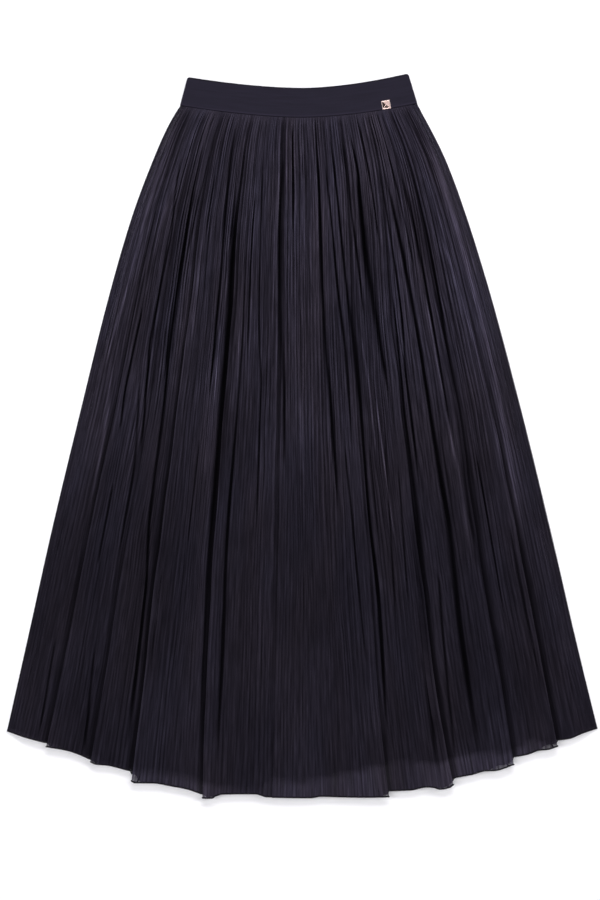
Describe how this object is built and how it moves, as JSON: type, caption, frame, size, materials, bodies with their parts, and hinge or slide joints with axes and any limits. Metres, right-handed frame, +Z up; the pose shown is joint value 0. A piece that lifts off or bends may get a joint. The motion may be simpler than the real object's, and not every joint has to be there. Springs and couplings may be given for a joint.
{
  "type": "maxi skirt",
  "caption": "Long flared skirt of crinkle-pleated sheer cloth over a lining, with a shaped waistband and a small square pyramid stud, laid flat with its front up.",
  "frame": {"origin": "middle of the bounding box in X and Y, on the surface the skirt lies on", "axes": "+Y along the centre front from the hem towards the waist, +Z up out of the skirt's front, +X towards the right of the front as it is seen, which is the wearer's left"},
  "size_m": [0.8556, 1.0492, 0.014],
  "materials": {
    "outer_cloth": "crinkled sheer weave, very dark navy",
    "lining_cloth": "plain smooth weave, near black",
    "waistband_cloth": "matte, with fine rows along it",
    "stud_metal": "polished, pink gold"
  },
  "bodies": {
    "root": {"skirt_front": "outer_cloth", "skirt_back": "outer_cloth", "lining_front": "lining_cloth", "lining_back": "lining_cloth", "waistband_front": "waistband_cloth", "waistband_back": "waistband_cloth", "stud": "stud_metal"}
  },
  "joints": []
}
